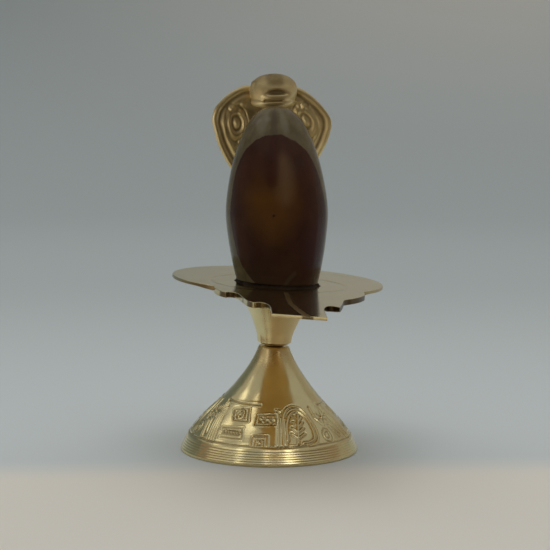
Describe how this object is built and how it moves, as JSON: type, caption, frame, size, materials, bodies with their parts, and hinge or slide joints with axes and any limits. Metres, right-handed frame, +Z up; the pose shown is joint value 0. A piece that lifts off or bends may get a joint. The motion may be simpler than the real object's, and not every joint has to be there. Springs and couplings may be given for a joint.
{
  "type": "shiva lingam stone",
  "caption": "Polished oval lingam stone standing upright on a turned brass pedestal with a flat spouted tray, a cobra hood rising behind the stone.",
  "frame": {"origin": "on the ground, under the middle of the whole object's footprint box", "axes": "+Z up, the tray's spout points along -Y, the cobra stands towards +Y, +X is the side the tray tips down to"},
  "size_m": [0.0606, 0.1054, 0.1061],
  "materials": {
    "stone": "polished, dark red-brown with a grey-olive rind",
    "setting_compound": "dark hardened compound",
    "polished_brass": "turned and polished",
    "cast_brass": "cast, chased and polished on the high spots",
    "plain_steel": "plain"
  },
  "bodies": {
    "root": {"stone": "stone", "bedding": "setting_compound", "tray": "polished_brass", "collar": "polished_brass", "pedestal": "polished_brass", "cobra_hood": "cast_brass", "stud_nut": "plain_steel"}
  },
  "joints": []
}
